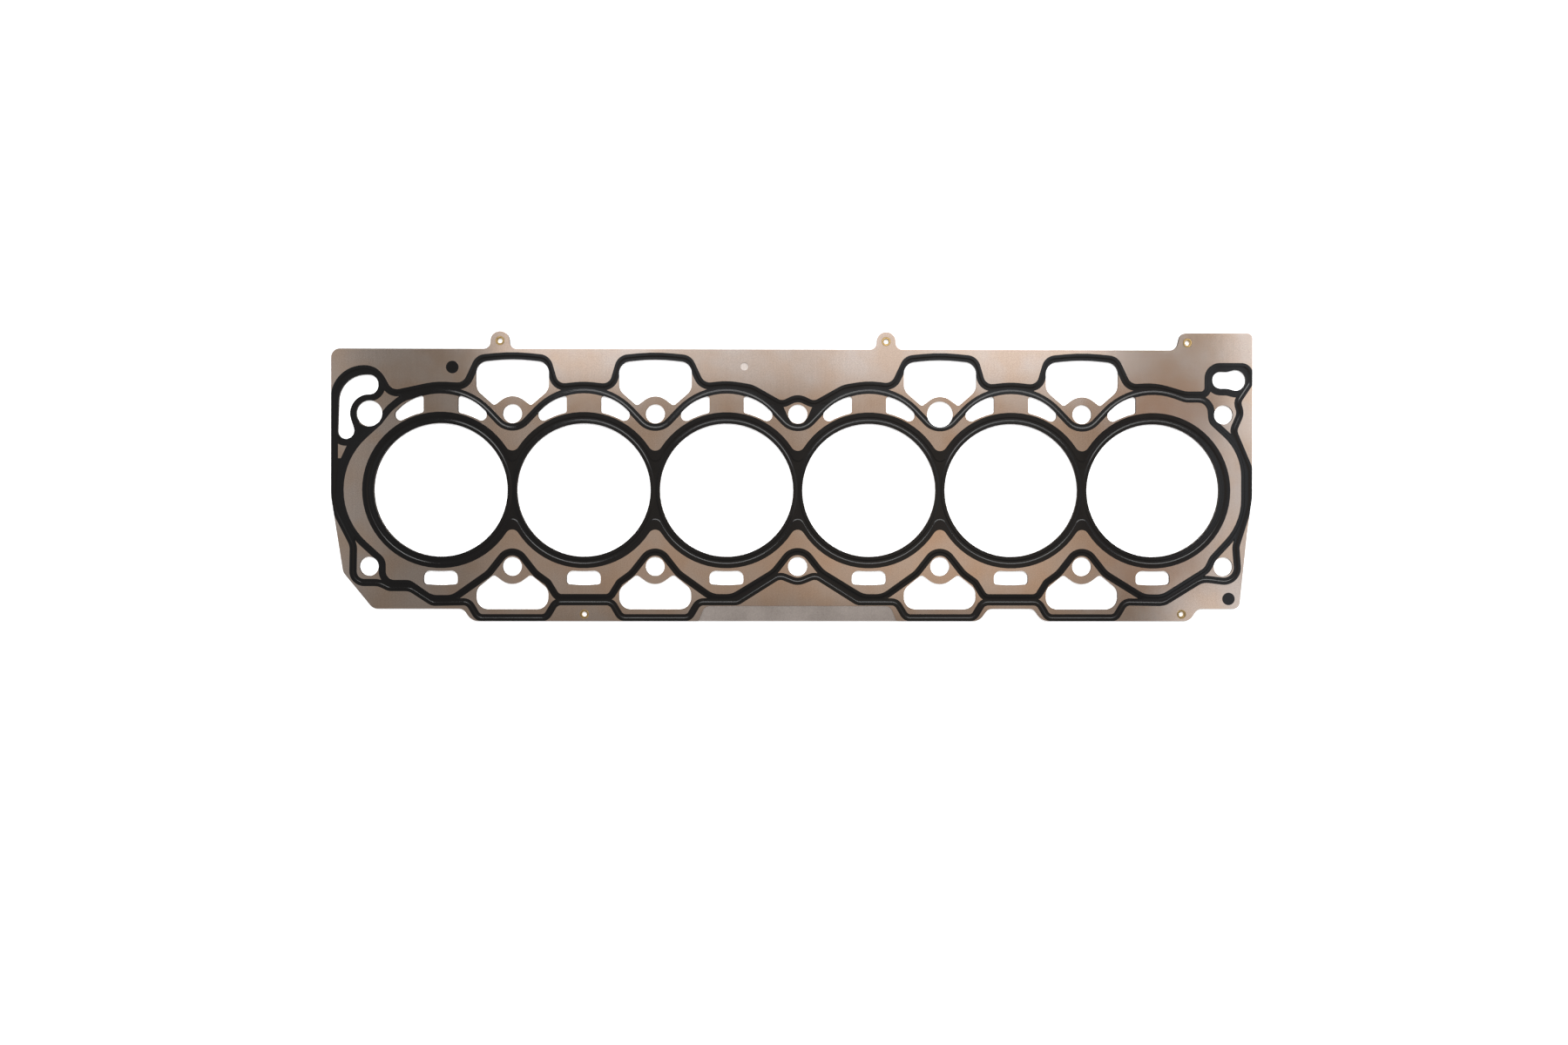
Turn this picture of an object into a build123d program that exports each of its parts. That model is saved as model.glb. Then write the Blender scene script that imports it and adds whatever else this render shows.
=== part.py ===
"""Cylinder head gasket for an inline six, a riveted stack of three steel sheets.

The two outer sheets are spring steel with pressed beads and printed rubber
tracks, the sheet between them is a plain carrier, and five hollow brass
eyelets hold the three together.

Frame: millimetres. The bores stand along X, +Y is the side with the
tabs and +Z points to the cylinder head. The origin lies on the bore line,
midway between cylinders 3 and 4, on the face that meets the block.
"""
from build123d import *
import math
import os

# ---------------------------------------------------------------- cylinders
CYLINDERS = 6
BORE_DIAMETER = 85.2        # opening in the gasket, a little over the piston
BORE_WEB = 5.8              # steel left between two openings
BOLT_ROW = 48.75            # both rows of head bolts, from the bore line
BOLT_HOLE = 12.2
DOWEL_HOLE = 16.6           # two holes of the upper row take a sleeve

# ------------------------------------------------------------------- sheets
FACE_SHEET = 0.25           # spring steel sheet on either side
CARRIER = 0.55              # plain sheet in the middle
BEAD_HEIGHT = 0.22          # how far the beads stand in towards the carrier
BEAD_FLANK = 1.1            # run of a bead's sloped flank, seen from above
PRINT = 0.05                # rubber print on the outer faces
STOCK_MARGIN = 40.0         # strip steel round the blank before it is cut
TRACK = 4.6                 # width of a printed track
OIL_TRACK = 4.4             # width of the track round an oil opening

# -------------------------------------------------------------- bore sealing
RING_PRINT_REACH = 7.25     # printed ring, from the bore's edge outwards
BORE_BEAD_REACH = 3.2       # middle of the round bead, from the bore's edge
BORE_BEAD_WIDTH = 2.8       # across its top
BORE_BEAD_FLOOR = 1.0       # across its flat floor
WEB_FILLET = 4.5            # between two printed rings, beside the web
WEB_BEAD_FILLET = 5.0       # the same on the middle line of the round beads

# ------------------------------------------------------------ outer outline
TOP_RIM = 41.25             # upper bolt row to the top edge
BOTTOM_RIM = 34.85          # lower bolt row to the bottom edge
LEFT_REACH = 24.1           # left edge beyond the first bolt column
RIGHT_REACH = 18.4          # right edge beyond the last bolt column
TAB_RADIUS = 6.0
TAB_RISE = 5.2              # middle of a round tab above the top edge
WIDE_TAB_RISE = 11.0        # wide tab at the right end above the top edge

# ------------------------------------------------------------------ eyelets
EYELET_HOLE = 3.2
EYELET_WALL = 0.3
EYELET_FLANGE = 5.8
EYELET_CURL = 0.3           # height of its rolled rim above the sheet
EYELET_CREST = 0.6          # width of the flat top of that rim

# -------------------------------------------------------------- derived
BORE_RADIUS = BORE_DIAMETER / 2
PITCH = BORE_DIAMETER + BORE_WEB
BOLT_RADIUS = BOLT_HOLE / 2
BORE_X = [(i - (CYLINDERS - 1) / 2) * PITCH for i in range(CYLINDERS)]
BOLT_X = [(i - CYLINDERS / 2) * PITCH for i in range(CYLINDERS + 1)]
LEFT = BOLT_X[0]
RIGHT = BOLT_X[-1]
MIDDLE = BOLT_X[CYLINDERS // 2]
PORT_X = [x for x in BOLT_X[1:-1] if x != MIDDLE]
BORE_BEAD = BORE_RADIUS + BORE_BEAD_REACH
RING_PRINT = BORE_RADIUS + RING_PRINT_REACH
TOP_EDGE = BOLT_ROW + TOP_RIM
BOTTOM_EDGE = BOLT_ROW + BOTTOM_RIM
TAB_CENTRE = TOP_EDGE + TAB_RISE
RIGHT_TAB = TOP_EDGE + WIDE_TAB_RISE
JACKET_CROWN = BORE_RADIUS + 36.7   # corner of the jacket's line over a cylinder
TRACK_CROWN = BORE_RADIUS + 26.8    # outer line over a cylinder, between ports
JACKET_LINE = BORE_RADIUS + 23.7    # jacket's line under the cylinders
PORT_LINE = JACKET_LINE + 7.3       # outer line under the cylinders
BOTTOM_STEP = PORT_LINE + 2.1       # where the bottom edge steps in


# ------------------------------------------------------- outlines by corners
def turn(before, at, after):
    """Angle in radians turned at a corner, positive to the left."""
    inward = math.atan2(at[1] - before[1], at[0] - before[0])
    outward = math.atan2(after[1] - at[1], after[0] - at[0])
    return (outward - inward + math.pi) % (2 * math.pi) - math.pi


def shifted(corners, distance):
    """The same outline moved out by distance, its corner radii with it.

    The corners run clockwise, so outwards is to the left.
    """
    moved = []
    count = len(corners)
    for i in range(count):
        before, at, after = corners[i - 1], corners[i], corners[(i + 1) % count]
        angle = turn(before, at, after)
        heading = math.atan2(at[1] - before[1], at[0] - before[0])
        bisector = heading + angle / 2 + math.pi / 2
        reach = distance / math.cos(angle / 2)
        radius = at[2] - distance * math.copysign(1, angle)
        moved.append((
            at[0] + reach * math.cos(bisector),
            at[1] + reach * math.sin(bisector),
            max(radius, 0.3),
        ))
    return moved


def limited(corners):
    """Radii eased where the arcs of two neighbouring corners would pass."""
    count = len(corners)
    angles = [turn(corners[i - 1], corners[i], corners[(i + 1) % count]) for i in range(count)]
    setbacks = [c[2] * math.tan(abs(a) / 2) for c, a in zip(corners, angles)]
    share = []
    for i in range(count):
        run = math.dist(corners[i][:2], corners[(i + 1) % count][:2])
        share.append(min(1, run / (setbacks[i] + setbacks[(i + 1) % count])))
    return [(x, y, r * min(share[i - 1], share[i])) for i, (x, y, r) in enumerate(corners)]


def rounded_wire(corners, z=0.0):
    """Closed wire through straight runs, with a tangent arc at each corner."""
    arcs = []
    corners = limited(corners)
    count = len(corners)
    for i in range(count):
        before, at, after = corners[i - 1], corners[i], corners[(i + 1) % count]
        angle = turn(before, at, after)
        setback = at[2] * math.tan(abs(angle) / 2)
        corner = Vector(at[0], at[1], z)
        back = (Vector(before[0], before[1], z) - corner).normalized()
        on = (Vector(after[0], after[1], z) - corner).normalized()
        start = corner + back * setback
        end = corner + on * setback
        bulge = at[2] * (1 / math.cos(angle / 2) - 1)
        middle = corner + (back + on).normalized() * bulge
        arcs.append((start, middle, end))
    edges = []
    for i, (start, middle, end) in enumerate(arcs):
        following = arcs[(i + 1) % count][0]
        edges.append(Edge.make_three_point_arc(start, middle, end))
        if (following - end).length > 1e-4:
            edges.append(Edge.make_line(end, following))
    return Wire(edges)


def rounded_face(corners):
    return Face(rounded_wire(corners))


def mirrored(half):
    """Left half of an outline, from bottom to top, made whole about x = 0."""
    return half + [(-x, y, r) for x, y, r in reversed(half) if x != 0]


def placed(corners, x, y_sign=1):
    """Corners drawn about x = 0 moved to x, or turned over below the bores."""
    moved = [(x + cx, y_sign * cy, r) for cx, cy, r in corners]
    return moved if y_sign > 0 else moved[::-1]


# --------------------------------------------------------- sealing outlines
def jacket_edge():
    """Inner edge of the coolant jacket's printed track, round all cylinders."""
    first, last = BORE_X[0], BORE_X[-1]
    edge = [
        (LEFT - 16.1, 19.9, 44.5),
        (LEFT + 7.6, BOLT_ROW - 7.25, 10),
        (LEFT + 14.5, BOLT_ROW + 1.45, 10),
        (first - 23.5, BOLT_ROW + 7.85, 20),
        (first + 12.4, JACKET_CROWN - 13.1, 40),
        (BOLT_X[1], BOLT_ROW - 17.4, 14.2),
    ]
    for bore in BORE_X[1:-1]:
        edge += [
            (bore, JACKET_CROWN, 38.8),
            (bore + PITCH / 2, BOLT_ROW - 17.4, 14.2),
        ]
    edge += [
        (last - 10.8, JACKET_CROWN - 11.4, 40),
        (RIGHT - 24.8, BOLT_ROW + 7.75, 12),
        (RIGHT - 10.9, BOLT_ROW + 7.75, 6),
        (RIGHT - 9.7, BOLT_ROW - 5.25, 8),
        (RIGHT + 11.3, 24.4, 35),
        (RIGHT + 11.3, -20.5, 38),
        (RIGHT - 8.8, 6.55 - BOLT_ROW, 10),
        (RIGHT - 12.1, -0.45 - BOLT_ROW, 8),
        (RIGHT - 39.6, -0.2 - JACKET_LINE, 12),
    ]
    left_port, inner_left, inner_right, right_port = PORT_X
    edge += [(right_port + 40.3, -JACKET_LINE, 12)]
    edge += jacket_valley(right_port) + jacket_knee(right_port, -1)
    edge += jacket_knee(inner_right, 1) + jacket_valley(inner_right)
    edge += [(inner_right - 37.0, -JACKET_LINE, 12), (inner_right - 48.9, -JACKET_LINE, 12)]
    edge += [
        (MIDDLE + 16.6, -1.95 - BOLT_ROW, 15),
        (MIDDLE, 19.25 - BOLT_ROW, 11.8),
        (MIDDLE - 16.6, -1.95 - BOLT_ROW, 15),
    ]
    edge += [(inner_left + 48.9, -JACKET_LINE, 12), (inner_left + 37.0, -JACKET_LINE, 12)]
    edge += jacket_valley(inner_left) + jacket_knee(inner_left, -1)
    edge += jacket_knee(left_port, 1) + jacket_valley(left_port)
    edge += [
        (first + 7.2, -0.7 - JACKET_LINE, 10),
        (first - 5.3, -0.7 - JACKET_LINE, 10),
        (LEFT + 26.3, -8.65 - BOLT_ROW, 8),
        (LEFT + 10.7, -8.65 - BOLT_ROW, 5.5),
        (LEFT + 10.7, 4.55 - BOLT_ROW, 9),
        (LEFT - 16.1, -19.9, 44.5),
    ]
    return edge


def jacket_valley(bolt):
    """The track rises between two cylinders to pass over a lower bolt hole."""
    return [
        (bolt + 16.5, -2.85 - BOLT_ROW, 14),
        (bolt, 18.25 - BOLT_ROW, 10.8),
        (bolt - 16.5, -2.85 - BOLT_ROW, 14),
    ]


def jacket_knee(bolt, side):
    """Beside a lower port the track drops steeply to the line between ports."""
    knee = [
        (bolt + side * 24.4, -8.55 - BOLT_ROW, 6),
        (bolt + side * 29.9, -JACKET_LINE, 3),
    ]
    return knee[::-side]


def upper_port_loop(x, inner):
    """Round an upper port; its inner side, -1 or 1, faces the next port."""
    loop = [
        (x - inner * 31.3, TRACK_CROWN - 1.1, 6),
        (x - inner * 22.9, TOP_EDGE - 3.9, 9),
        (x, TOP_EDGE - 1.6, 110),
        (x + inner * 23.9, TOP_EDGE - 4.0, 9),
        (x + inner * 29.3, TRACK_CROWN - 1.7, 5.5),
    ]
    return loop[::inner]


def lower_port_loop(x):
    return [
        (x + 29.0, -PORT_LINE, 3.5),
        (x + 23.0, -BOTTOM_EDGE - 0.2, 7.5),
        (x - 23.0, -BOTTOM_EDGE - 0.2, 7.5),
        (x - 29.0, -PORT_LINE, 3.5),
    ]


def outer_edge():
    """Outer edge of the printed track that runs round every port.

    Where it meets the rim of the gasket it is drawn a little beyond it.
    """
    left_port, inner_left, inner_right, right_port = PORT_X
    near_left, near_right = MIDDLE - PITCH / 2, MIDDLE + PITCH / 2
    edge = [
        (LEFT - LEFT_REACH - 0.3, BOLT_ROW + 30.65, 21),
        (LEFT + 5.7, BOLT_ROW + 30.65, 14.5),
        (LEFT + 14.7, BOLT_ROW + 14.55, 6),
        (BORE_X[0] - 3.5, TRACK_CROWN - 0.2, 50),
    ]
    edge += upper_port_loop(left_port, 1)
    edge += [(left_port + PITCH / 2, TRACK_CROWN, 50)]
    edge += upper_port_loop(inner_left, -1)
    edge += [
        (near_left, TRACK_CROWN + 0.8, 50),
        (near_left + 16.6, TRACK_CROWN - 1.8, 18),
        (MIDDLE - 10.3, BOLT_ROW + 8.35, 5),
        (MIDDLE, BOLT_ROW + 13.4, 11.7),
        (MIDDLE + 10.3, BOLT_ROW + 8.35, 5),
        (near_right - 16.6, TRACK_CROWN - 1.8, 18),
        (near_right, TRACK_CROWN + 0.8, 50),
    ]
    edge += upper_port_loop(inner_right, 1)
    edge += [(right_port - PITCH / 2, TRACK_CROWN, 50)]
    edge += upper_port_loop(right_port, -1)
    edge += [
        (BORE_X[-1] + 2.0, TRACK_CROWN - 0.2, 45),
        (RIGHT - 24.5, BOLT_ROW + 14.95, 12),
        (RIGHT - 12.4, BOLT_ROW + 14.95, 2.5),
        (RIGHT - 12.4, BOLT_ROW + 33.25, 9.8),
        (RIGHT + RIGHT_REACH + 0.5, BOLT_ROW + 33.25, 7.5),
        (RIGHT + RIGHT_REACH + 0.5, BOLT_ROW + 19.65, 6),
        (RIGHT + 11.2, BOLT_ROW + 8.05, 4),
        (RIGHT + 13.3, BOLT_ROW + 0.7, 10),
        (RIGHT + 8.6, BOLT_ROW - 10.25, 5),
        (RIGHT + RIGHT_REACH + 0.6, 14.0, 20),
        (RIGHT + RIGHT_REACH + 0.6, -8.5, 25),
        (RIGHT + 10.3, 12.75 - BOLT_ROW, 8),
        (RIGHT + 12.3, -13.15 - BOLT_ROW, 11),
        (RIGHT - 13.0, -9.95 - BOLT_ROW, 10),
        (RIGHT - 37.8, -0.4 - PORT_LINE, 12),
    ]
    edge += lower_port_loop(right_port)
    edge += lower_port_loop(inner_right)
    edge += [
        (inner_right - 53.1, -PORT_LINE, 8),
        (MIDDLE + 11.3, -8.05 - BOLT_ROW, 4.5),
        (MIDDLE, -12.6 - BOLT_ROW, 11.3),
        (MIDDLE - 11.3, -8.05 - BOLT_ROW, 4.5),
        (inner_left + 53.1, -PORT_LINE, 8),
    ]
    edge += lower_port_loop(inner_left)
    edge += lower_port_loop(left_port)
    edge += [
        (LEFT + 39.8, -0.4 - PORT_LINE, 8),
        (LEFT + 25.4, -15.85 - BOLT_ROW, 8),
        (LEFT + 12.4, -15.85 - BOLT_ROW, 8),
        (LEFT + 5.8, -12.65 - BOLT_ROW, 10),
        (LEFT - 12.6, -12.65 - BOLT_ROW, 9.5),
        (LEFT - 12.2, 13.05 - BOLT_ROW, 9),
        (LEFT - LEFT_REACH - 0.3, -11.8, 25),
    ]
    return edge


def gasket_edge(notch=False):
    """Rim of a sheet; only the head-side sheet has the shallow notch."""
    recess = BORE_X[-2]
    slant = 5.6
    edge = [(LEFT - LEFT_REACH, TOP_EDGE, 5.5)]
    for tab in EYELET_TABS:
        edge += [
            (tab - TAB_RADIUS, TOP_EDGE, 4.5),
            (tab - TAB_RADIUS, TAB_CENTRE + TAB_RADIUS, TAB_RADIUS - 0.1),
            (tab + TAB_RADIUS, TAB_CENTRE + TAB_RADIUS, TAB_RADIUS - 0.1),
            (tab + TAB_RADIUS, TOP_EDGE, 4.5),
        ]
    edge += [
        (RIGHT - 30.5, TOP_EDGE, 5.5),
        (RIGHT - 27.8, RIGHT_TAB, 4.5),
        (RIGHT + RIGHT_REACH, RIGHT_TAB, 3.2),
        (RIGHT + RIGHT_REACH, -4, 30),
        (RIGHT + RIGHT_REACH - 3.2, -27, 40),
        (RIGHT + RIGHT_REACH - 8.2, -BOTTOM_STEP, 4.5),
        (RIGHT - 16.4, -BOTTOM_STEP, 5),
        (RIGHT - 16.4 - slant, -BOTTOM_EDGE, 7),
        (recess + 14.5 + slant, -BOTTOM_EDGE, 8),
        (recess + 14.5, -BOTTOM_STEP, 5),
        (recess - 14.5, -BOTTOM_STEP, 5),
        (recess - 14.5 - slant, -BOTTOM_EDGE, 8),
    ]
    if notch:
        edge += [
            (PORT_X[2] - 27.7, -BOTTOM_EDGE, 0.8),
            (PORT_X[2] - 31.7, -0.3 - PORT_LINE, 4.5),
            (PORT_X[1] + 31.7, -0.3 - PORT_LINE, 4.5),
            (PORT_X[1] + 27.7, -BOTTOM_EDGE, 0.8),
        ]
    edge += [
        (PORT_X[0] - 31.2 + slant, -BOTTOM_EDGE, 8),
        (PORT_X[0] - 31.2, -BOTTOM_STEP, 5),
        (LEFT + 2.7, -BOTTOM_STEP, 6),
        (LEFT - 16.3, -3.85 - BOLT_ROW, 5),
        (LEFT - LEFT_REACH, -4, 30),
    ]
    return edge


# -------------------------------------------------------------------- holes
BOSS = 11.0                 # land left round a bolt hole that borders a port


def upper_port(x):
    """Port above the bores, with a land round the bolt hole in its floor."""
    half = [
        (0, BOLT_ROW + 13.9, BOSS),
        (-11.7, BOLT_ROW + 5.05, 2.2),
        (-23.2, BOLT_ROW + 15.15, 8),
        (-23.2, TOP_EDGE - 8.5, 7.5),
        (0, TOP_EDGE - 5.9, 110),
    ]
    return placed(mirrored(half), x)


def lower_port(x):
    half = [
        (0, BOLT_ROW + 13.9, BOSS),
        (-11.7, BOLT_ROW + 5.15, 2.2),
        (-23.0, BOLT_ROW + 14.45, 7),
        (-23.0, BOTTOM_EDGE - 7.4, 7.5),
    ]
    return placed(mirrored(half), x, -1)


def upper_slot(bore, side):
    """Coolant slot above a bore, between the bore's ring and the jacket track."""
    right = [
        (10.9, BORE_RADIUS + 6.9, 1.6),
        (10.9, BORE_RADIUS + 17.9, 1.6),
        (21.4, BORE_RADIUS + 14.9, 32),
        (29.2, BORE_RADIUS + 6.9, 3.0),
        (29.2, BORE_RADIUS - 0.5, 3.5),
        (17.5, BORE_RADIUS + 5.3, 48),
    ]
    if side > 0:
        return placed(right, bore)
    return [(bore - cx, cy, r) for cx, cy, r in reversed(right)]


def lower_slot(bore):
    half = [
        (0, BORE_RADIUS + 9.2, 80),
        (-10.9, BORE_RADIUS + 8.6, 4.2),
        (-10.9, BORE_RADIUS + 17.5, 2.2),
        (0, BORE_RADIUS + 18.6, 85),
    ]
    return placed(mirrored(half), bore, -1)


def oil_passage():
    """Bent oil passage that wraps round the sleeved bolt hole at the left."""
    return [
        (LEFT - LEFT_REACH + 3.9, BOLT_ROW - 16.35, 5.1),
        (LEFT - LEFT_REACH + 5.2, BOLT_ROW + 24.65, 17),
        (LEFT + 5.8, BOLT_ROW + 24.65, 6.1),
        (LEFT + 5.8, BOLT_ROW + 12.1, 5.6),
        (LEFT - 5.0, BOLT_ROW + 12.1, 11.7),
        (LEFT - 13.8, BOLT_ROW + 3.3, 11.7),
        (LEFT - 7.4, BOLT_ROW - 16.35, 5.4),
    ]


def timing_oil_slot():
    """Oil slot with two round ends and a slight waist, at the right end."""
    return [
        (RIGHT - 7.2, BOLT_ROW + 16.95, 5.2),
        (RIGHT - 7.2, BOLT_ROW + 27.75, 5.2),
        (RIGHT + 2.6, BOLT_ROW + 27.55, 6),
        (RIGHT + 14.3, BOLT_ROW + 30.75, 6.4),
        (RIGHT + 14.3, BOLT_ROW + 13.55, 6.4),
        (RIGHT + 2.6, BOLT_ROW + 16.75, 6),
    ]


EYELET_TABS = [BOLT_X[1] - 7.9, MIDDLE + 56.4]
EYELETS = [(x, TAB_CENTRE) for x in EYELET_TABS] + [
    (RIGHT - 23.4, TAB_CENTRE - 0.4),
    (BORE_X[1] + 0.5, 4.4 - BOTTOM_EDGE),
    (RIGHT - 26.9, 4.4 - BOTTOM_EDGE),
]
UPPER_BAND = (TRACK_CROWN + TOP_EDGE) / 2
DOTS = [(BOLT_X[1] - 38.2, UPPER_BAND - 1.4), (RIGHT + 3.3, 6.4 - BOTTOM_STEP)]
DOT_RADIUS = 4.0
GAUGE_HOLE = (MIDDLE - 34.2, UPPER_BAND - 0.7)
GAUGE_HOLE_RADIUS = 2.5


# ------------------------------------------------------------ build the sheets
# Levels of the stack, from the block face up to the head face.
DECK_SHEET_FACE = PRINT
CARRIER_BASE = DECK_SHEET_FACE + FACE_SHEET + BEAD_HEIGHT
CARRIER_TOP = CARRIER_BASE + CARRIER
HEAD_SHEET_FACE = CARRIER_TOP + BEAD_HEIGHT + FACE_SHEET
HEAD_FACE = HEAD_SHEET_FACE + PRINT
MID_PLANE = Plane.XY.offset(HEAD_FACE / 2)


def siamesed_wire(radius, fillet, z=0.0):
    """Circles round all the bores run together, with a fillet at each web."""
    half = PITCH / 2
    height = math.sqrt((radius + fillet) ** 2 - half ** 2)
    lean = math.atan2(height, half)
    touch_x = radius * math.cos(lean)
    touch_y = radius * math.sin(lean)
    edges = []
    for side in (1, -1):
        for i, bore in enumerate(BORE_X[::side]):
            start = (bore - side * touch_x, side * touch_y, z)
            end = (bore + side * touch_x, side * touch_y, z)
            crown = (bore, side * radius, z)
            if i == 0:
                start = (bore - side * radius, 0, z)
                crown = (bore - side * radius * math.sin(lean / 2), side * radius * math.cos(lean / 2), z)
            if i == CYLINDERS - 1:
                end = (bore + side * radius, 0, z)
                crown = (bore + side * radius * math.sin(lean / 2), side * radius * math.cos(lean / 2), z)
            edges.append(Edge.make_three_point_arc(start, crown, end))
            if i < CYLINDERS - 1:
                web = bore + side * half
                dip = (web, side * (height - fillet), z)
                following = (web + side * (half - touch_x), side * touch_y, z)
                edges.append(Edge.make_three_point_arc(end, dip, following))
    return Wire(edges)


def bore_wire(bore, radius, z=0.0):
    return Wire.make_circle(radius, Plane((bore, 0, z)))


def between(wire_at, top, low, face):
    """Solid with sloped walls from level face down to the beads' floor."""
    floor = wire_at(low, face - BEAD_HEIGHT)
    return Solid.make_loft([floor, wire_at(top, face)], ruled=True)


def beads(face):
    """Everything that the press sinks below level face on the head side."""
    inset = BEAD_FLANK / 2
    line = TRACK / 2
    outer, jacket = outer_edge(), jacket_edge()
    pan = between(lambda d, z: rounded_wire(shifted(outer, d), z), inset - line, -inset - line, face)
    pan -= between(lambda d, z: rounded_wire(shifted(jacket, d), z), line - inset, line + inset, face)
    top, floor = BORE_BEAD_WIDTH / 2, BORE_BEAD_FLOOR / 2
    groove = between(lambda d, z: siamesed_wire(BORE_BEAD + d, WEB_BEAD_FILLET - d, z), top, floor, face)
    for bore in BORE_X:
        groove -= between(lambda d, z: bore_wire(bore, BORE_BEAD - d, z), top, floor, face)
    return pan, groove


def embossed(face, thickness):
    """Layer of even thickness under level face, with the beads pressed in."""
    width = RIGHT - LEFT + 2 * (LEFT_REACH + STOCK_MARGIN)
    height = 2 * (RIGHT_TAB + STOCK_MARGIN)
    layer = Pos(0, 0, face - thickness / 2) * Box(width, height, thickness)
    for bead in beads(face):
        layer = layer + Pos(0, 0, -thickness) * bead - bead
    return layer


def disc(x, y, radius):
    return Face(Wire.make_circle(radius, Plane((x, y, 0))))


def through_openings():
    """Every opening that passes through all three sheets, as flat faces."""
    sleeved = {(LEFT, 1), (PORT_X[2], 1)}
    faces = [disc(x, 0, BORE_RADIUS) for x in BORE_X]
    for x in BOLT_X:
        for side in (1, -1):
            hole = DOWEL_HOLE if (x, side) in sleeved else BOLT_HOLE
            faces.append(disc(x, side * BOLT_ROW, hole / 2))
    faces += [rounded_face(upper_port(x)) for x in PORT_X]
    faces += [rounded_face(lower_port(x)) for x in PORT_X]
    faces += [rounded_face(upper_slot(x, -1)) for x in BORE_X]
    faces += [rounded_face(upper_slot(x, 1)) for x in BORE_X[:-1]]
    faces += [rounded_face(lower_slot(x)) for x in BORE_X]
    faces += [rounded_face(oil_passage()), rounded_face(timing_oil_slot())]
    return faces


def sheet_face(notch=False):
    """Flat outline of one sheet with all its holes."""
    face = rounded_face(gasket_edge(notch))
    face -= through_openings()
    face -= [disc(x, y, EYELET_HOLE / 2 + EYELET_WALL) for x, y in EYELETS]
    if notch:
        face -= disc(*GAUGE_HOLE, GAUGE_HOLE_RADIUS)
    return face


def bore_print_face():
    """Siamesed rubber ring, printed round all the bores in one piece."""
    ring = Face(siamesed_wire(RING_PRINT, WEB_FILLET))
    return ring - [disc(x, 0, BORE_RADIUS) for x in BORE_X]


def jacket_print_face():
    """Rubber tracks round the jacket, the ports and both oil openings."""
    jacket, outer = jacket_edge(), outer_edge()
    inside_outer = rounded_face(outer)
    beyond_jacket = inside_outer - rounded_face(jacket)
    tracks = rounded_face(shifted(jacket, TRACK)) - rounded_face(jacket)
    tracks += inside_outer - rounded_face(shifted(outer, -TRACK))
    tracks += rounded_face(shifted(oil_passage(), OIL_TRACK)) & beyond_jacket
    tracks += rounded_face(shifted(timing_oil_slot(), OIL_TRACK)) & beyond_jacket
    return (tracks & rounded_face(gasket_edge())) - through_openings()


def raised(face, low, high):
    """Upright solid over a flat face."""
    return extrude(Pos(0, 0, low) * face, high - low, dir=(0, 0, 1))


def blanked(layer, face, low, high):
    """Cut an outline with its holes out of an embossed layer, as a die does."""
    return layer & raised(face, low, high)


# -------------------------------------------------------------- the pieces
def eyelet(x, y):
    """Hollow rivet with a rolled rim on each face of the stack."""
    hole, shank = EYELET_HOLE / 2, EYELET_HOLE / 2 + EYELET_WALL
    flange = EYELET_FLANGE / 2
    low = DECK_SHEET_FACE - EYELET_CURL
    high = HEAD_SHEET_FACE + EYELET_CURL
    lip, crest = (hole + flange) / 2, EYELET_CREST / 2
    section = Polyline(
        (hole, DECK_SHEET_FACE),
        (lip - crest, low),
        (lip + crest, low),
        (flange, DECK_SHEET_FACE),
        (shank, DECK_SHEET_FACE),
        (shank, HEAD_SHEET_FACE),
        (flange, HEAD_SHEET_FACE),
        (lip + crest, high),
        (lip - crest, high),
        (hole, HEAD_SHEET_FACE),
        close=True,
    )
    return Pos(x, y, 0) * revolve(Plane.XZ * make_face(section), Axis.Z)


def build():
    floor = HEAD_SHEET_FACE - FACE_SHEET - BEAD_HEIGHT
    sheet_stock = embossed(HEAD_SHEET_FACE, FACE_SHEET)
    print_stock = embossed(HEAD_FACE, PRINT)
    plain = sheet_face()
    parts = {
        "head_side_sheet": blanked(sheet_stock, sheet_face(notch=True), floor, HEAD_FACE),
        "carrier_sheet": raised(plain, CARRIER_BASE, CARRIER_TOP),
        "head_bore_print": blanked(print_stock, bore_print_face(), floor, HEAD_FACE),
        "head_jacket_print": blanked(print_stock, jacket_print_face(), floor, HEAD_FACE),
    }
    head_blank = blanked(sheet_stock, plain, floor, HEAD_FACE)
    parts["deck_side_sheet"] = mirror(head_blank, MID_PLANE)
    parts["deck_bore_print"] = mirror(parts["head_bore_print"], MID_PLANE)
    parts["deck_jacket_print"] = mirror(parts["head_jacket_print"], MID_PLANE)
    for i, (x, y) in enumerate(DOTS, 1):
        parts[f"head_dot_{i}"] = raised(disc(x, y, DOT_RADIUS), HEAD_SHEET_FACE, HEAD_FACE)
    for i, (x, y) in enumerate(EYELETS, 1):
        parts[f"eyelet_{i}"] = eyelet(x, y)
    return parts


if __name__ == "__main__":
    os.makedirs("parts", exist_ok=True)
    for name, shape in build().items():
        export_step(shape, f"parts/{name}.step")
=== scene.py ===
import math

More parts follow.
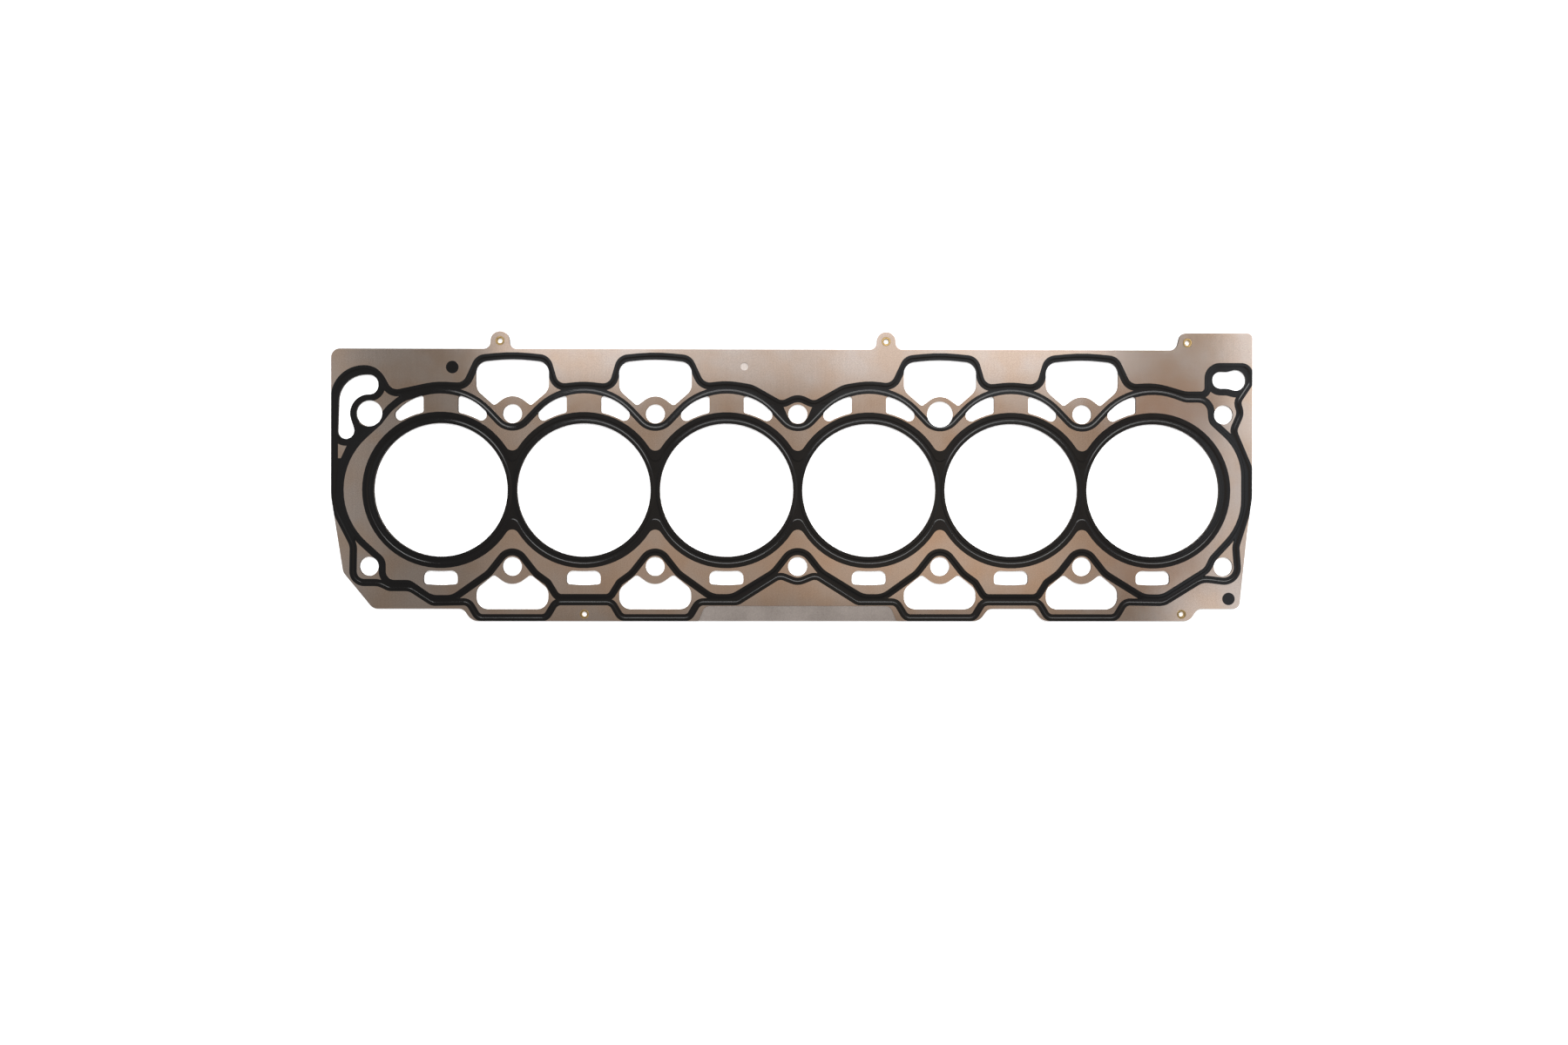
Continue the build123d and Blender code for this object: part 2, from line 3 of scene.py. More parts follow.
import bmesh
import bpy
from bpy.props import FloatProperty, FloatVectorProperty, PointerProperty, StringProperty
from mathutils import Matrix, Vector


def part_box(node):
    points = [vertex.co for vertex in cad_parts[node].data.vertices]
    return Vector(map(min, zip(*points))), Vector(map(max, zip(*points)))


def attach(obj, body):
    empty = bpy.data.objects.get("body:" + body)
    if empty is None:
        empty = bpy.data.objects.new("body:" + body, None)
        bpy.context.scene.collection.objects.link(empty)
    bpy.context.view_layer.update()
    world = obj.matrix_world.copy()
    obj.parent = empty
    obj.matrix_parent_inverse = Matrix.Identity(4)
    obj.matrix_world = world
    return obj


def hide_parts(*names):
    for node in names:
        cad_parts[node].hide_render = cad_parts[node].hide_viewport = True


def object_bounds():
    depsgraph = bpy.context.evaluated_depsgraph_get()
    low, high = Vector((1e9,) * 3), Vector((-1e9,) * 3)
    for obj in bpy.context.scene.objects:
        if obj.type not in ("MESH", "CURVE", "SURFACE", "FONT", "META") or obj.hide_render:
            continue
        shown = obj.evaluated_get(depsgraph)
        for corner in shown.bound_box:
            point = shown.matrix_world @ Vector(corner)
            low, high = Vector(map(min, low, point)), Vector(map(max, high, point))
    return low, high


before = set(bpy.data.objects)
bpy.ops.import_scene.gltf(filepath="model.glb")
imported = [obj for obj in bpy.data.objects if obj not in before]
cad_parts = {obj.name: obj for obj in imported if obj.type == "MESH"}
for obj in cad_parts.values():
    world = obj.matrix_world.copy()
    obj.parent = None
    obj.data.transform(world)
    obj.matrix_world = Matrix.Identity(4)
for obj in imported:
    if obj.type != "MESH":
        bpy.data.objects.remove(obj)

bl_info = {
    "name": "Cylinder head gasket",
    "version": (1, 0, 0),
    "blender": (4, 5, 0),
    "location": "3D Viewport > Sidebar > Gasket",
    "description": "Finishes a riveted steel head gasket with printed sealing tracks",
    "category": "Object",
}

CAD_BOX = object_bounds()
MM = 0.001

SHEETS = ("head_side_sheet", "deck_side_sheet")
BORE_PRINTS = ("head_bore_print", "deck_bore_print")
JACKET_PRINTS = ("head_jacket_print", "deck_jacket_print")

HEAD_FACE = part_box("head_bore_print")[1].z      # top of the print, faces the head
SHEET_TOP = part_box("head_side_sheet")[1].z
PRINT_THICKNESS = HEAD_FACE - SHEET_TOP
REST = CAD_BOX[0][2]                            # lowest rim of the eyelets

# Roughness of each finish. A pair runs from the smooth patches to the dull ones.
STEEL_GLOSS = 0.14          # lacquered face sheets
CARRIER_GLOSS = 0.45        # bare carrier
CUT_GLOSS = 0.6             # sheared walls of both
GLOSS_DRIFT = 0.08          # share by which the sheets' gloss comes and goes
RUBBER_GLOSS = (0.15, 0.2)
BRASS_GLOSS = (0.22, 0.34)

STEEL_MOTTLE = 0.06         # share by which the sheets' tone comes and goes
CARRIER_MOTTLE = 0.1
RUBBER_MOTTLE = (0.8, 1.25)     # darkest and lightest speckle, as shares of the colour
BRASS_MOTTLE = (0.75, 1.1)
CUT_WALL_PAINTED_SHADE = 0.1             # tone of a sheared wall, as a share of the rolled face: painted shade that darkens the walls of the holes
GRAIN_WEIGHT = 0.4          # rolling lines beside the coat's own speckle
STEEL_RELIEF = 0.002 * MM   # depth of the rolling lines
RUBBER_RELIEF = 0.004 * MM
RUBBER_IOR = 1.38           # fluorocarbon rubber

FLANK_STEPS = 5             # rows that round each bead flank
FLANK_RUN = 0.3 * MM        # an edge on a flank runs further than this
FLANK_RISE = 0.4            # and climbs more than this share of the bead
WELD = 0.0005 * MM          # corners of the film closer than this are one
FILL_SHARE = 0.9            # thickness of a filled corner, as a share of the print
SMOOTH_ANGLE = 35           # degrees; sharper edges of the print stay crisp

# Light: radiance 1 is what a white card shows at full exposure.
COOL = "#EBF4FF"
WARM = "#FFE8D2"
AMBER = "#FFC69F"
NEUTRAL = "#FFFFFF"
WALL_LEVEL = 0.95
CEILING_LEVEL = 0.31
WALL_TOP = (0.2, 0.5)       # sine of the height at which the walls turn into ceiling
FLOOR_LIFT = 0.45           # glow that brings the lit table to plain white
FLOOR_REACH = 8.0           # half the table's width

# Softboxes: name, lift over the lamp height, west, east, south and north edge,
# radiance and tint. Where two hang over each other, the lift keeps them apart,
# because two boxes at one height hide each other in the sheen of the steel.
SOFTBOXES = (
    ("north_softbox", 0.0, -0.58, 0.606, 0.19, 0.42, 0.8, COOL),
    ("north_softbox_west", 0.01, -0.58, -0.264, 0.19, 0.42, 0.38, COOL),
    ("north_softbox_east", 0.01, 0.072, 0.606, 0.19, 0.42, 0.29, COOL),
    ("north_softbox_bright", 0.02, 0.29, 0.606, 0.19, 0.42, 0.23, COOL),
    ("north_east_glow", 0.0, 0.606, 0.835, 0.19, 0.42, 0.2, NEUTRAL),
    ("north_key", 0.0, -0.6, 1.15, 0.43, 0.62, 9.5, NEUTRAL),
    ("north_key_back", 0.0, -0.6, 1.15, 0.62, 1.1, 5.0, NEUTRAL),
    ("ceiling_glow", 0.0, -0.59, 0.606, -0.235, 0.19, 0.18, WARM),
    ("ceiling_glow_south", 0.01, -0.35, 0.606, -0.235, 0.0, 0.1, WARM),
    ("ceiling_glow_east", 0.02, 0.03, 0.53, -0.235, 0.19, 0.18, WARM),
    ("ceiling_glow_bright", 0.03, 0.18, 0.47, -0.235, 0.0, 0.1, WARM),
    ("lamp_gap", 0.0, 0.606, 0.79, -0.2, 0.19, 0.2, AMBER),
    ("east_softbox", 0.0, 0.79, 1.5, -0.2, 0.08, 0.82, COOL),
    ("east_softbox_north", 0.0, 0.835, 1.5, 0.08, 0.42, 1.35, COOL),
    ("east_softbox_south", 0.0, 0.72, 1.5, -0.4, -0.2, 1.1, COOL),
    ("west_glow", 0.0, -1.3, -0.8, -0.2, 0.15, 0.19, COOL),
    ("north_west_glow", 0.0, -1.3, -0.843, 0.15, 0.42, 0.4, COOL),
)

# Corners that the screen leaves full of rubber, where two tracks run together.
# The outlines are in mm and run anticlockwise.
LEFT_RIM_FILL = (
    (-294.3, 9.0), (-291.5, 9.0), (-284.0, 28.0), (-284.0, 30.5), (-285.2, 31.2),
    (-286.4, 30.0), (-291.0, 20.1), (-295.0, 20.1))
LEFT_BOLT_FILL = (
    (-280.9, 45.1), (-279.9, 40.5), (-278.9, 35.2), (-272.8, 38.9),
    (-268.4, 41.3), (-265.9, 43.8), (-268.0, 41.6), (-270.75, 40.35),
    (-273.8, 40.1), (-276.7, 40.9), (-279.15, 42.6))
MIDDLE_BOLT_FILL = (
    (-17.5, 56.6), (-16.0, 53.2), (-11.0, 47.4), (-7.0, 43.0),
    (-4.5, 41.5), (-3.0, 42.6), (-4.2, 43.9), (-5.3, 45.2),
    (-6.2, 46.6), (-9.0, 53.0), (-9.6, 54.6), (-12.0, 56.5))
FILLS = {"head_jacket_print": (
    LEFT_RIM_FILL, LEFT_BOLT_FILL, MIDDLE_BOLT_FILL,
    tuple((-x, y) for x, y in reversed(MIDDLE_BOLT_FILL)))}


# ------------------------------------------------------------------ settings
class GasketSizes(bpy.types.PropertyGroup):
    """Sizes of the patterns that the rolls, the screen and the rivet tool leave."""

    # Real rolling lines stand about 0.05 mm apart, and the grain of the coat
    # and of the rubber is as fine. That is too fine to show, so all three are
    # drawn ten to twenty times as coarse.
    grain_pitch: FloatProperty(
        name="Rolling grain", description="Spacing of the rolling lines in the steel",
        default=0.9 * MM, unit="LENGTH", precision=5)
    grain_length: FloatProperty(
        name="Grain length", description="How long one rolling line runs",
        default=40 * MM, unit="LENGTH", precision=4)
    coat_grain: FloatProperty(
        name="Coat grain", description="Size of the speckle in the sheets' coat",
        default=0.7 * MM, unit="LENGTH", precision=5)
    coat_drift: FloatProperty(
        name="Coat drift", description="Distance over which the coat's tint comes and goes",
        default=25 * MM, unit="LENGTH", precision=4)
    rubber_grain: FloatProperty(
        name="Rubber grain", description="Size of the dull speckle on the printed rubber",
        default=0.5 * MM, unit="LENGTH", precision=5)
    rubber_patch: FloatProperty(
        name="Rubber patches", description="Size of the patches where the rubber cured duller",
        default=12 * MM, unit="LENGTH", precision=4)
    tarnish: FloatProperty(
        name="Tarnish", description="Size of the dull patches on the eyelets",
        default=1.5 * MM, unit="LENGTH", precision=5)


class GasketColours(bpy.types.PropertyGroup):
    """Colours of the materials, as sRGB hex values."""

    steel_warm: StringProperty(
        name="Coated steel, warm", description="Where the tan coat of the face sheets is thick",
        default="#C2A995")
    steel_cool: StringProperty(
        name="Coated steel, cool", description="Where the tan coat of the face sheets is thin",
        default="#BEADA0")
    carrier: StringProperty(
        name="Carrier steel", description="Bare sheet between the face sheets", default="#A89F99")
    rubber: StringProperty(
        name="Printed rubber", description="Sealing tracks and dots", default="#0B0908")
    brass: StringProperty(
        name="Brass", description="Hollow eyelets", default="#AE9262")
    floor: StringProperty(
        name="Floor", description="Table that the gasket lies on", default="#FFFFFF")


class StageSettings(bpy.types.PropertyGroup):
    """Where the camera stands and how high the lamps hang."""

    camera_height: FloatProperty(
        name="Camera height", description="Lens above the gasket's upper face",
        default=0.55, unit="LENGTH")
    camera_place: FloatVectorProperty(
        name="Camera place", description="Point of the gasket's face straight under the lens",
        default=(-3 * MM, 8 * MM), size=2, unit="LENGTH")
    camera_tilt: FloatVectorProperty(
        name="Camera tilt", description="Small turns of the camera away from plumb",
        default=[math.radians(angle) for angle in (-0.064, -0.399, 0.080)], subtype="EULER")
    frame_width: FloatProperty(
        name="Frame width", description="Width that the camera takes in on the gasket's upper face",
        default=1.0017, unit="LENGTH", precision=5)
    lens_shift: FloatVectorProperty(
        name="Lens shift", description="Sideways and upward shift, in frame widths",
        default=(-0.0096, -0.0279), size=2)
    lamp_height: FloatProperty(
        name="Lamp height", description="Softboxes above the gasket's upper face",
        default=1.1, unit="LENGTH")


# ----------------------------------------------------------------- materials
def colour(hex_value):
    """Linear RGBA of an sRGB hex value such as #A08060."""
    channels = [int(hex_value[i:i + 2], 16) / 255 for i in (1, 3, 5)]
    linear = [c / 12.92 if c <= 0.04045 else ((c + 0.055) / 1.055) ** 2.4 for c in channels]
    return (*linear, 1.0)


def shade(hex_value, factor):
    """The same colour made lighter or darker, in linear light."""
    red, green, blue, _ = colour(hex_value)
    return (red * factor, green * factor, blue * factor, 1.0)


def add(tree, kind, settings=None, inputs=None):
    """Adds one node, sets its properties, and fills or links its inputs."""
    node = tree.nodes.new(kind)
    for name, value in (settings or {}).items():
        setattr(node, name, value)
    for name, value in (inputs or {}).items():
        if isinstance(value, bpy.types.NodeSocket):
            tree.links.new(value, node.inputs[name])
        else:
            node.inputs[name].default_value = value
    return node


def new_material(name):
    """Empty node material with an output, and its object coordinates in metres."""
    material = bpy.data.materials.new(name)
    material.use_nodes = True
    tree = material.node_tree
    tree.nodes.clear()
    output = add(tree, "ShaderNodeOutputMaterial")
    place = add(tree, "ShaderNodeTexCoord").outputs["Object"]
    return material, tree, output, place


def rolled_steel(name, warm, cool, roughness, sizes, mottle):
    """Cold-rolled steel: faint rolling lines along Y, a soft mottle, and dull cut edges darkened by
    painted shade.

    The lines make the sheen streaky, and the tint that drifts between warm
    and cool keeps a wide flat face from looking even. The walls of the holes
    are sheared and not rolled, so they are duller; their colour is painted
    shade, a tenth of the face's tone, which draws a dark line round each hole.
    """
    material, tree, output, place = new_material(name)
    stretched = add(tree, "ShaderNodeMapping", inputs={
        "Vector": place,
        "Scale": (1 / sizes.grain_pitch, 1 / sizes.grain_length, 1 / sizes.grain_pitch)})
    grain = add(tree, "ShaderNodeTexNoise", inputs={
        "Vector": stretched.outputs[0], "Scale": 1.0, "Detail": 3.0, "Roughness": 0.6})
    cloud = add(tree, "ShaderNodeTexNoise", inputs={
        "Vector": place, "Scale": 1 / sizes.coat_drift, "Detail": 2.0, "Roughness": 0.5})
    speckle = add(tree, "ShaderNodeTexNoise", inputs={
        "Vector": place, "Scale": 1 / sizes.coat_grain, "Detail": 1.0, "Roughness": 0.5})
    tint = add(tree, "ShaderNodeValToRGB", inputs={"Fac": cloud.outputs["Fac"]})
    tint.color_ramp.elements[0].position = 0.35
    tint.color_ramp.elements[0].color = shade(warm, 1 - mottle / 2)
    tint.color_ramp.elements[1].position = 0.65
    tint.color_ramp.elements[1].color = shade(cool, 1 + mottle / 2)
    fleck = add(tree, "ShaderNodeMath", {"operation": "MULTIPLY_ADD"}, {
        0: grain.outputs["Fac"], 1: GRAIN_WEIGHT, 2: speckle.outputs["Fac"]})
    fleck = add(tree, "ShaderNodeMapRange", inputs={
        "Value": fleck.outputs[0], "From Min": 0.45, "From Max": 0.95,
        "To Min": 1 - mottle, "To Max": 1 + mottle})
    tone = add(tree, "ShaderNodeMix", {"data_type": "RGBA", "blend_type": "MULTIPLY"}, {
        "Factor": 1.0, "A": tint.outputs["Color"], "B": fleck.outputs["Result"]})
    normal = add(tree, "ShaderNodeTexCoord").outputs["Normal"]
    upward = add(tree, "ShaderNodeSeparateXYZ", inputs={"Vector": normal}).outputs["Z"]
    upward = add(tree, "ShaderNodeMath", {"operation": "ABSOLUTE"}, {0: upward}).outputs[0]
    # 1 on the flat faces, 0 on the walls: it picks the walls for the painted shade and for the dull
    #                                      gloss
    rolled = add(tree, "ShaderNodeMapRange", inputs={
        "Value": upward, "From Min": 0.5, "From Max": 0.8}).outputs["Result"]
    # painted shade: the walls of the holes take a tenth of the face's tone
    tone_with_painted_wall_shade = add(tree, "ShaderNodeMix", {"data_type": "RGBA"}, {
        "Factor": rolled, "A": shade(warm, CUT_WALL_PAINTED_SHADE), "B": tone.outputs["Result"]})
    gloss = add(tree, "ShaderNodeMapRange", inputs={
        "Value": cloud.outputs["Fac"], "From Min": 0.3, "From Max": 0.7,
        "To Min": roughness * (1 - GLOSS_DRIFT), "To Max": roughness * (1 + GLOSS_DRIFT)})
    sheared = add(tree, "ShaderNodeMapRange", inputs={
        "Value": rolled, "To Min": CUT_GLOSS, "To Max": 0.0})
    gloss = add(tree, "ShaderNodeMath", {"operation": "MAXIMUM"}, {
        0: gloss.outputs["Result"], 1: sheared.outputs["Result"]})
    relief = add(tree, "ShaderNodeBump", inputs={
        "Height": grain.outputs["Fac"], "Strength": 0.15, "Distance": STEEL_RELIEF})
    steel = add(tree, "ShaderNodeBsdfPrincipled", inputs={
        "Base Color": tone_with_painted_wall_shade.outputs["Result"], "Metallic": 1.0,
        "Roughness": gloss.outputs["Value"], "Normal": relief.outputs["Normal"]})
    tree.links.new(steel.outputs["BSDF"], output.inputs["Surface"])
    return material


def printed_rubber(name, sizes, colours):
    """Fluorocarbon rubber, screen printed and cured: near black, satin, finely speckled."""
    material, tree, output, place = new_material(name)
    speckle = add(tree, "ShaderNodeTexNoise", inputs={
        "Vector": place, "Scale": 1 / sizes.rubber_grain, "Detail": 2.0, "Roughness": 0.6})
    patches = add(tree, "ShaderNodeTexNoise", inputs={
        "Vector": place, "Scale": 1 / sizes.rubber_patch, "Detail": 1.0})
    tone = add(tree, "ShaderNodeValToRGB", inputs={"Fac": speckle.outputs["Fac"]})
    tone.color_ramp.elements[0].position = 0.3
    tone.color_ramp.elements[0].color = shade(colours.rubber, RUBBER_MOTTLE[0])
    tone.color_ramp.elements[1].position = 0.7
    tone.color_ramp.elements[1].color = shade(colours.rubber, RUBBER_MOTTLE[1])
    gloss = add(tree, "ShaderNodeMapRange", inputs={
        "Value": patches.outputs["Fac"], "From Min": 0.3, "From Max": 0.7,
        "To Min": RUBBER_GLOSS[0], "To Max": RUBBER_GLOSS[1]})
    relief = add(tree, "ShaderNodeBump", inputs={
        "Height": speckle.outputs["Fac"], "Strength": 0.3, "Distance": RUBBER_RELIEF})
    rubber = add(tree, "ShaderNodeBsdfPrincipled", inputs={
        "Base Color": tone.outputs["Color"], "IOR": RUBBER_IOR,
        "Roughness": gloss.outputs["Result"], "Normal": relief.outputs["Normal"]})
    tree.links.new(rubber.outputs["BSDF"], output.inputs["Surface"])
    return material


def drawn_brass(name, sizes, colours):
    """Brass drawn into a tube and rolled over: bright, with a dull patch here and there."""
    material, tree, output, place = new_material(name)
    tarnish = add(tree, "ShaderNodeTexNoise", inputs={
        "Vector": place, "Scale": 1 / sizes.tarnish, "Detail": 2.0, "Roughness": 0.5})
    tone = add(tree, "ShaderNodeValToRGB", inputs={"Fac": tarnish.outputs["Fac"]})
    tone.color_ramp.elements[0].position = 0.35
    tone.color_ramp.elements[0].color = shade(colours.brass, BRASS_MOTTLE[0])
    tone.color_ramp.elements[1].position = 0.65
    tone.color_ramp.elements[1].color = shade(colours.brass, BRASS_MOTTLE[1])
    gloss = add(tree, "ShaderNodeMapRange", inputs={
        "Value": tarnish.outputs["Fac"], "To Min": BRASS_GLOSS[1], "To Max": BRASS_GLOSS[0]})
    brass = add(tree, "ShaderNodeBsdfPrincipled", inputs={
        "Base Color": tone.outputs["Color"], "Metallic": 1.0,
        "Roughness": gloss.outputs["Result"]})
    tree.links.new(brass.outputs["BSDF"], output.inputs["Surface"])
    return material


def made_once(name, make, *settings):
    """The material of that name; it is made the first time that a piece needs it."""
    return bpy.data.materials.get(name) or make(name, *settings)


def coated_steel(scene):
    """Spring steel under a thin tan coat: a soft mirror that looks warm and even."""
    sizes, colours = scene.gasket_sizes, scene.gasket_colours
    return made_once("coated_cold_rolled_steel", rolled_steel, colours.steel_warm,
                     colours.steel_cool, STEEL_GLOSS, sizes, STEEL_MOTTLE)


def carrier_steel(scene):
    """Bare strip as it leaves the rolls: greyer, duller and more mottled."""
    sizes, colours = scene.gasket_sizes, scene.gasket_colours
    return made_once("bare_cold_rolled_steel", rolled_steel, colours.carrier,
                     colours.carrier, CARRIER_GLOSS, sizes, CARRIER_MOTTLE)


def rubber(scene):
    """The one rubber of all tracks and dots."""
    return made_once("screen_printed_rubber", printed_rubber,
                     scene.gasket_sizes, scene.gasket_colours)


def brass(scene):
    """The one brass of all eyelets."""
    return made_once("drawn_brass", drawn_brass, scene.gasket_sizes, scene.gasket_colours)


def finish(node, material):
    """Gives a CAD node that material, on its object and not on its mesh."""
    for place in node.material_slots:
        place.link = "OBJECT"
        place.material = material


# -------------------------------------------------------------------- pieces
def nodes_like(start):
    """Names of the CAD nodes that begin so. A frame without any is an error."""
    names = sorted(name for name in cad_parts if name.startswith(start))
    if not names:
        raise RuntimeError("the frame has no node that begins with " + start)
    return names


def soft_bead(height, low, high):
    """Height on a pressed bead: a rolled S in place of a straight flank."""
    share = (height - low) / (high - low)
    share = min(1.0, max(0.0, share))
    return low + (high - low) * share ** 3 * (10 - 15 * share + 6 * share * share)


def fill_corner(shape, outline, low, high):
    """Flat slab of rubber between two heights."""
    rows = [[shape.verts.new((x * MM, y * MM, z)) for x, y in outline] for z in (low, high)]
    shape.faces.new(reversed(rows[0]))
    shape.faces.new(rows[1])
    for i in range(len(outline)):
        after = (i + 1) % len(outline)
        shape.faces.new((rows[0][i], rows[0][after], rows[1][after], rows[1][i]))


def printed_piece(node_name, thickness):
    """Copy of a printed track whose bead flanks are rolled, not straight.

    The slanted faces are divided into steps, and each new row is moved on to
    the S of a pressed bead. A point keeps to the side of the rubber, outer or
    inner, that its faces lie on. Filled corners lie flat on the sunk sheet.
    """
    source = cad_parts[node_name]
    low_box, high_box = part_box(node_name)
    bead = (high_box.z - low_box.z) - thickness
    mesh = bpy.data.meshes.new(node_name + "_cured")
    shape = bmesh.new()
    shape.from_mesh(source.data)
    bmesh.ops.remove_doubles(shape, verts=shape.verts, dist=WELD)
    slanted = [
        edge for edge in shape.edges
        if abs(edge.verts[0].co.z - edge.verts[1].co.z) > FLANK_RISE * bead
        and (edge.verts[0].co - edge.verts[1].co).xy.length > FLANK_RUN
    ]
    bmesh.ops.subdivide_edges(shape, edges=slanted, cuts=FLANK_STEPS, use_grid_fill=True)
    shape.normal_update()
    spans = {1: (high_box.z - bead, high_box.z), -1: (low_box.z, low_box.z + bead)}
    for vert in shape.verts:
        lean = sum(face.normal.z for face in vert.link_faces)
        side = 1 if lean > 0 else -1
        low, high = spans[side]
        if low < vert.co.z < high:
            vert.co.z = soft_bead(vert.co.z, low, high)
    for outline in FILLS.get(node_name, ()):
        fill_corner(shape, outline, low_box.z, low_box.z + FILL_SHARE * thickness)
    shape.to_mesh(mesh)
    shape.free()
    mesh.materials.clear()
    mesh.set_sharp_from_angle(angle=math.radians(SMOOTH_ANGLE))
    for polygon in mesh.polygons:
        polygon.use_smooth = True
    piece = bpy.data.objects.new(node_name + "_cured", mesh)
    bpy.context.scene.collection.objects.link(piece)
    return piece


def place_piece(piece, node_name, material):
    """The piece takes its material and stands for its CAD node."""
    piece.data.materials.append(material)
    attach(piece, "root")
    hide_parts(node_name)


# --------------------------------------------------------------------- stage
def softbox(name, height, west, east, south, north, radiance, tint):
    """Level rectangular softbox of even brightness that shines straight down."""
    data = bpy.data.lights.new(name, "AREA")
    data.shape = "RECTANGLE"
    data.size, data.size_y = east - west, north - south
    data.energy = radiance * math.pi * data.size * data.size_y
    data.color = colour(tint)[:3]
    box = bpy.data.objects.new(name, data)
    box.location = ((west + east) / 2, (south + north) / 2, HEAD_FACE + height)
    box.visible_camera = False
    bpy.context.scene.collection.objects.link(box)


def floor_material(colours):
    """Matt white table that the camera and the metal see as plain white paper."""
    material, tree, output, _ = new_material("matt_white_table")
    card = add(tree, "ShaderNodeBsdfDiffuse", inputs={"Color": colour(colours.floor)})
    path = add(tree, "ShaderNodeLightPath")
    seen = add(tree, "ShaderNodeMath", {"operation": "ADD"}, {
        0: path.outputs["Is Camera Ray"], 1: path.outputs["Is Glossy Ray"]})
    seen = add(tree, "ShaderNodeMath", {"operation": "ADD", "use_clamp": True}, {
        0: seen.outputs[0], 1: path.outputs["Is Transmission Ray"]})
    lift = add(tree, "ShaderNodeMath", {"operation": "MULTIPLY"}, {
        0: seen.outputs[0], 1: FLOOR_LIFT})
    glow = add(tree, "ShaderNodeEmission", inputs={
        "Color": colour(colours.floor), "Strength": lift.outputs[0]})
    both = add(tree, "ShaderNodeAddShader", inputs={
        0: card.outputs["BSDF"], 1: glow.outputs["Emission"]})
    tree.links.new(both.outputs["Shader"], output.inputs["Surface"])
    return material


def floor_piece(material):
    """Square table top at the height of the eyelets' lower rims."""
    mesh = bpy.data.meshes.new("floor")
    shape = bmesh.new()
    corners = [shape.verts.new((x * FLOOR_REACH, y * FLOOR_REACH, REST))
               for x, y in ((-1, -1), (1, -1), (1, 1), (-1, 1))]
    shape.faces.new(corners)
    shape.to_mesh(mesh)
    shape.free()
    mesh.materials.append(material)
    return bpy.data.objects.new("floor", mesh)


def studio_world():
    """White walls round the table under a dim ceiling."""
    world = bpy.data.worlds.new("studio")
    world.use_nodes = True
    tree = world.node_tree
    background = tree.nodes["Background"]
    background.inputs["Color"].default_value = colour(NEUTRAL)
    ray = add(tree, "ShaderNodeTexCoord").outputs["Generated"]
    height = add(tree, "ShaderNodeSeparateXYZ", inputs={"Vector": ray}).outputs["Z"]
    level = add(tree, "ShaderNodeMapRange", {"interpolation_type": "SMOOTHSTEP"}, {
        "Value": height, "From Min": WALL_TOP[0], "From Max": WALL_TOP[1],
        "To Min": WALL_LEVEL, "To Max": CEILING_LEVEL})
    tree.links.new(level.outputs["Result"], background.inputs["Strength"])
    return world


# ----------------------------------------------------------------- operators
class FinishSheets(bpy.types.Operator):
    """Gives both face sheets their coated spring steel and the carrier its bare steel"""

    bl_idname = "gasket.finish_sheets"
    bl_label = "Finish steel sheets"

    def execute(self, context):
        for name in SHEETS:
            finish(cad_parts[name], coated_steel(context.scene))
        finish(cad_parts["carrier_sheet"], carrier_steel(context.scene))
        return {"FINISHED"}


class PrintTracks(bpy.types.Operator):
    """Prints the rubber tracks over the rolled beads on both faces"""

    bl_idname = "gasket.print_tracks"
    bl_label = "Print rubber tracks"

    def execute(self, context):
        for name in BORE_PRINTS + JACKET_PRINTS:
            piece = printed_piece(name, PRINT_THICKNESS)
            place_piece(piece, name, rubber(context.scene))
        return {"FINISHED"}


class PrintDots(bpy.types.Operator):
    """Prints the two round dots on the head side"""

    bl_idname = "gasket.print_dots"
    bl_label = "Print dots"

    def execute(self, context):
        for name in nodes_like("head_dot"):
            finish(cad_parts[name], rubber(context.scene))
        return {"FINISHED"}


class RollEyelets(bpy.types.Operator):
    """Gives the hollow eyelets their drawn brass"""

    bl_idname = "gasket.roll_eyelets"
    bl_label = "Roll eyelets"

    def execute(self, context):
        for name in nodes_like("eyelet"):
            finish(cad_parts[name], brass(context.scene))
        return {"FINISHED"}


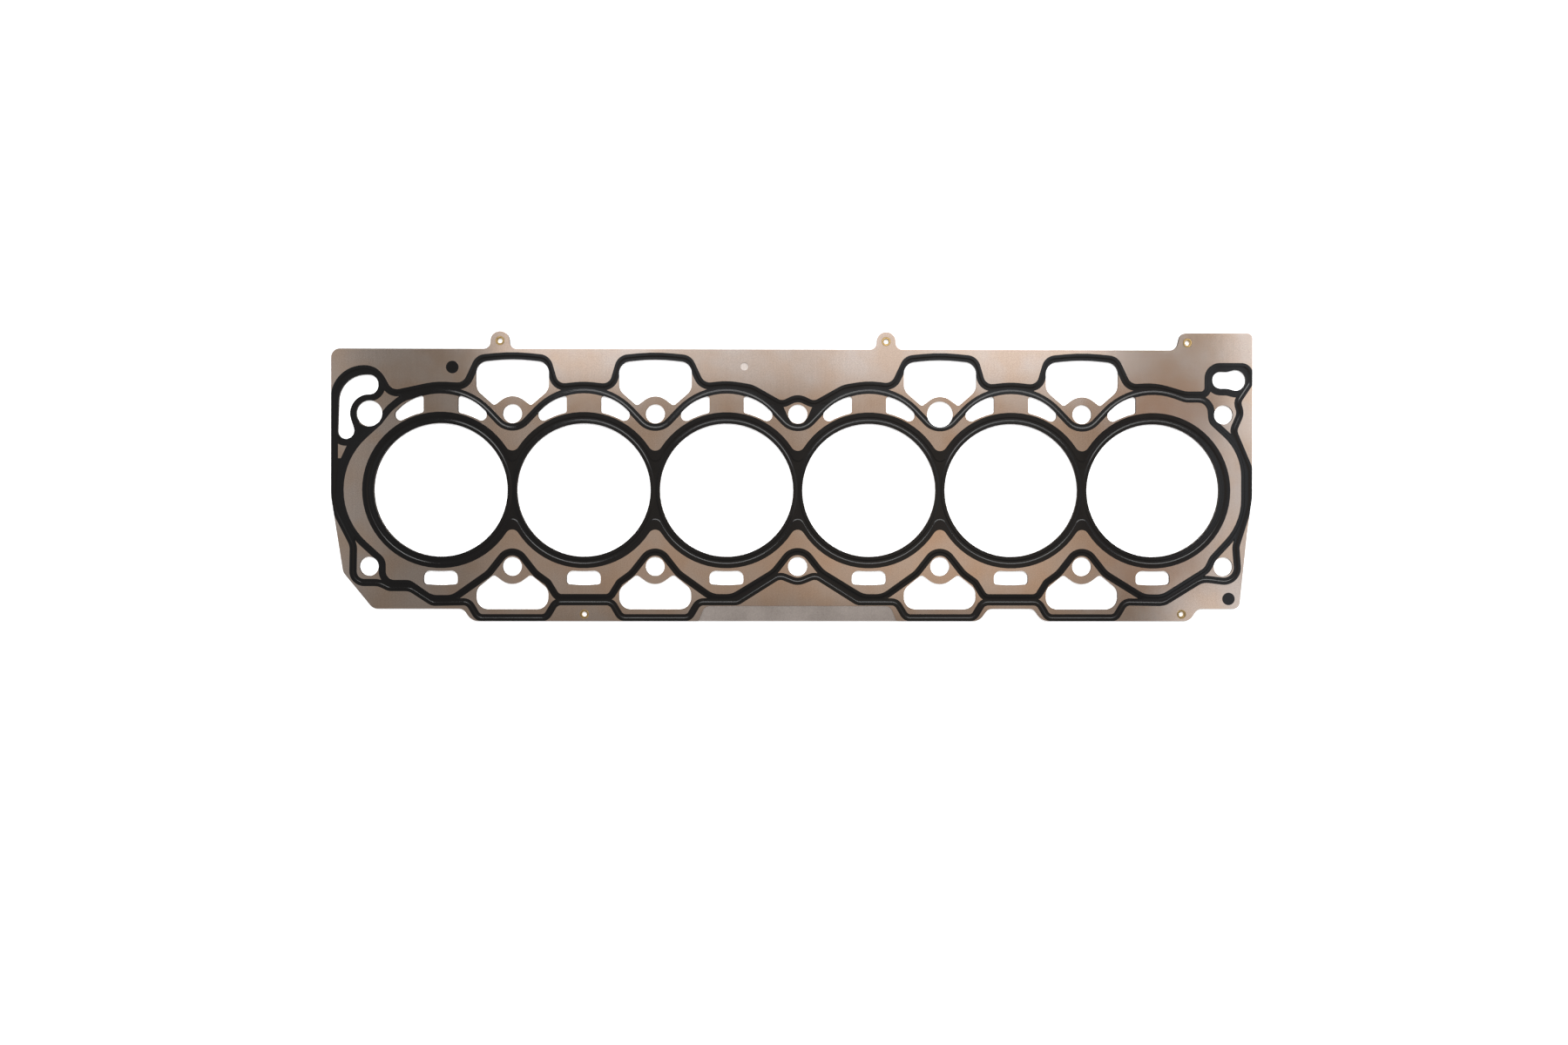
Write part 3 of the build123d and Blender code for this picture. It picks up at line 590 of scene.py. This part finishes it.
class SetStage(bpy.types.Operator):
    """Lays the floor and sets up the lamps and the camera"""

    bl_idname = "gasket.set_stage"
    bl_label = "Set stage"

    def execute(self, context):
        scene = context.scene
        stage, colours = scene.gasket_stage, scene.gasket_colours
        table = floor_piece(floor_material(colours))
        scene.collection.objects.link(table)

        scene.world = studio_world()
        for name, lift, *edges, radiance, tint in SOFTBOXES:
            softbox(name, stage.lamp_height + lift, *edges, radiance, tint)

        camera = bpy.data.cameras.new("camera")
        camera.sensor_fit = "HORIZONTAL"
        camera.sensor_width = 36.0
        camera.lens = camera.sensor_width * stage.camera_height / stage.frame_width
        camera.shift_x, camera.shift_y = stage.lens_shift
        camera.clip_start = 0.01
        view = bpy.data.objects.new("camera", camera)
        view.location = (*stage.camera_place, HEAD_FACE + stage.camera_height)
        view.rotation_euler = stage.camera_tilt
        scene.collection.objects.link(view)
        scene.camera = view
        scene.view_settings.view_transform = "Standard"
        return {"FINISHED"}


class GasketPanel(bpy.types.Panel):
    """Sidebar panel with the gasket's operators and settings"""

    bl_idname = "GASKET_PT_panel"
    bl_label = "Head gasket"
    bl_space_type = "VIEW_3D"
    bl_region_type = "UI"
    bl_category = "Gasket"

    def draw(self, context):
        scene = context.scene
        for operator in OPERATORS:
            self.layout.operator(operator.bl_idname)
        for group in (scene.gasket_sizes, scene.gasket_colours, scene.gasket_stage):
            box = self.layout.box()
            for name in group.__annotations__:
                box.prop(group, name)


OPERATORS = (FinishSheets, PrintTracks, PrintDots, RollEyelets, SetStage)
CLASSES = (GasketSizes, GasketColours, StageSettings, *OPERATORS, GasketPanel)


def register():
    for cls in CLASSES:
        bpy.utils.register_class(cls)
    bpy.types.Scene.gasket_sizes = PointerProperty(type=GasketSizes)
    bpy.types.Scene.gasket_colours = PointerProperty(type=GasketColours)
    bpy.types.Scene.gasket_stage = PointerProperty(type=StageSettings)


def unregister():
    del bpy.types.Scene.gasket_sizes
    del bpy.types.Scene.gasket_colours
    del bpy.types.Scene.gasket_stage
    for cls in reversed(CLASSES):
        bpy.utils.unregister_class(cls)


def main():
    """Makes the whole gasket and its stage."""
    register()
    bpy.ops.gasket.finish_sheets()
    bpy.ops.gasket.print_tracks()
    bpy.ops.gasket.print_dots()
    bpy.ops.gasket.roll_eyelets()
    bpy.ops.gasket.set_stage()


if __name__ == "__main__":
    main()
